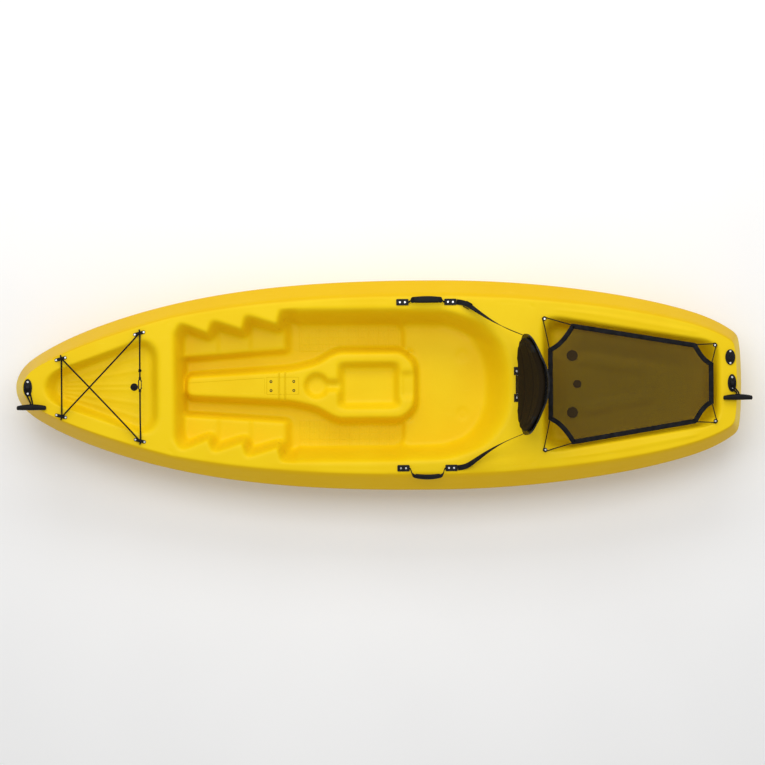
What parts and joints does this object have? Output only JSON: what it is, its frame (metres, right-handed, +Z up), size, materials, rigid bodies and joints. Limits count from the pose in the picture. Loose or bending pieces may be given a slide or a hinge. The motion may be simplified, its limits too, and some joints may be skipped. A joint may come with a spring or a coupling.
{
  "type": "sit-on-top kayak",
  "caption": "Sit-on-top kayak with moulded foot rests, folding seat back, side carry handles, bow bungee, mesh stowage cover and end toggles.",
  "frame": {"origin": "middle of the flat keel panel, on its underside", "axes": "+X towards the stern, +Y to starboard, +Z up"},
  "size_m": [2.769, 0.7912, 0.528],
  "materials": {
    "hull_polyethylene": "satin moulded polyethylene",
    "black_plastic": "matt moulded nylon",
    "black_rubber": "matt",
    "black_cord": "braided",
    "black_webbing": "woven",
    "mesh_fabric": "open mesh",
    "steel": "stainless"
  },
  "bodies": {
    "hull": {"accessory_inserts": "black_plastic", "backrest_hinge_base": "black_plastic", "backrest_hinge_pin": "steel", "backrest_hinge_screws": "steel", "bow_bungee": "black_cord", "bow_pad_eye": "black_plastic", "bow_pad_eye_screws": "steel", "bungee_hook": "black_plastic", "bungee_knot": "black_cord", "bungee_pad_eye_front_port": "black_plastic", "bungee_pad_eye_front_starboard": "black_plastic", "bungee_pad_eye_rear_port": "black_plastic", "bungee_pad_eye_rear_starboard": "black_plastic", "bungee_pad_eye_screws": "steel", "carry_handle_screws": "steel", "cover_binding": "black_webbing", "cover_elastic_front_port": "black_cord", "cover_elastic_front_starboard": "black_cord", "cover_elastic_rear_port": "black_cord", "cover_elastic_rear_starboard": "black_cord", "cover_mesh": "mesh_fabric", "cover_stud_front_port": "black_plastic", "cover_stud_front_starboard": "black_plastic", "cover_stud_rear_port": "black_plastic", "cover_stud_rear_starboard": "black_plastic", "cover_stud_screws": "steel", "drain_housing": "black_plastic", "drain_housing_screws": "steel", "hull": "hull_polyethylene", "port_handle_plate_front": "black_plastic", "port_handle_plate_rear": "black_plastic", "starboard_handle_plate_front": "black_plastic", "starboard_handle_plate_rear": "black_plastic", "stern_pad_eye": "black_plastic", "stern_pad_eye_rivets": "steel", "strap_buckle": "black_plastic"},
    "bow_toggle_body": {"bow_handle_cord": "black_cord", "bow_toggle": "black_rubber"},
    "stern_toggle_body": {"stern_handle_cord": "black_cord", "stern_toggle": "black_rubber"},
    "starboard_carry_handle": {"starboard_handle_strap": "black_plastic", "starboard_handle_grip": "black_rubber"},
    "port_carry_handle": {"port_handle_strap": "black_plastic", "port_handle_grip": "black_rubber"},
    "bow_scupper_plug": {"bow_scupper_plug": "black_rubber"},
    "tank_scupper_plug_starboard": {"tank_scupper_plug_starboard": "black_rubber"},
    "tank_scupper_plug_port": {"tank_scupper_plug_port": "black_rubber"},
    "tank_scupper_plug_middle": {"tank_scupper_plug_middle": "black_rubber"},
    "drain_seal": {"drain_seal": "black_rubber"},
    "drain_plug": {"drain_plug": "black_plastic"},
    "bungee_hook_gate": {"bungee_hook_gate": "black_plastic"},
    "backrest": {"backrest_shell": "black_plastic", "backrest_pad": "mesh_fabric", "starboard_seat_strap": "black_webbing", "port_seat_strap": "black_webbing"}
  },
  "joints": [
    {"name": "bow_toggle_lift", "type": "hinge", "parent": "hull", "child": "bow_toggle_body", "pos_m": [-1.30735, 0, 0.34367], "axis": [-0.9962, 0, 0.0872], "range_deg": [0, 170]},
    {"name": "stern_toggle_lift", "type": "hinge", "parent": "hull", "child": "stern_toggle_body", "pos_m": [1.324, 0, 0.2975], "axis": [-1, 0, 0], "range_deg": [0, 168]},
    {"name": "starboard_handle_swing", "type": "hinge", "parent": "hull", "child": "starboard_carry_handle", "pos_m": [0.181, 0.311, 0.295], "axis": [1, 0, 0], "range_deg": [-78, 98]},
    {"name": "port_handle_swing", "type": "hinge", "parent": "hull", "child": "port_carry_handle", "pos_m": [0.181, -0.311, 0.295], "axis": [-1, 0, 0], "range_deg": [-43, 133]},
    {"name": "bow_scupper_plug_pull", "type": "slide", "parent": "hull", "child": "bow_scupper_plug", "axis": [0, 0, 1], "range_m": [0, 0.03]},
    {"name": "tank_scupper_plug_starboard_pull", "type": "slide", "parent": "hull", "child": "tank_scupper_plug_starboard", "axis": [0, 0, 1], "range_m": [0, 0.04]},
    {"name": "tank_scupper_plug_port_pull", "type": "slide", "parent": "hull", "child": "tank_scupper_plug_port", "axis": [0, 0, 1], "range_m": [0, 0.04]},
    {"name": "tank_scupper_plug_middle_pull", "type": "slide", "parent": "hull", "child": "tank_scupper_plug_middle", "axis": [0, 0, 1], "range_m": [0, 0.04]},
    {"name": "drain_plug_rise", "type": "slide", "parent": "hull", "child": "drain_seal", "axis": [0, 0, 1], "range_m": [0, 0.0091]},
    {"name": "drain_plug_turn", "type": "hinge", "parent": "drain_seal", "child": "drain_plug", "pos_m": [1.318, 0.097, 0.29], "axis": [0, 0, 1], "range_deg": [0, 1080]},
    {"name": "backrest_fold", "type": "hinge", "parent": "hull", "child": "backrest", "pos_m": [0.519, 0, 0.3], "axis": [0, 1, 0], "range_deg": [-104, 6], "deforming": ["starboard_seat_strap", "port_seat_strap"]},
    {"name": "bungee_hook_gate_open", "type": "hinge", "parent": "hull", "child": "bungee_hook_gate", "pos_m": [-0.8877, 0.0155, 0.3056], "axis": [-0.0872, 0, -0.9962], "range_deg": [0, 18], "stiffness_Nm_per_rad": 0.02}
  ],
  "couplings": [
    {"joint": "drain_plug_rise", "follows": "drain_plug_turn", "m_per_rad": 0.00047746}
  ]
}
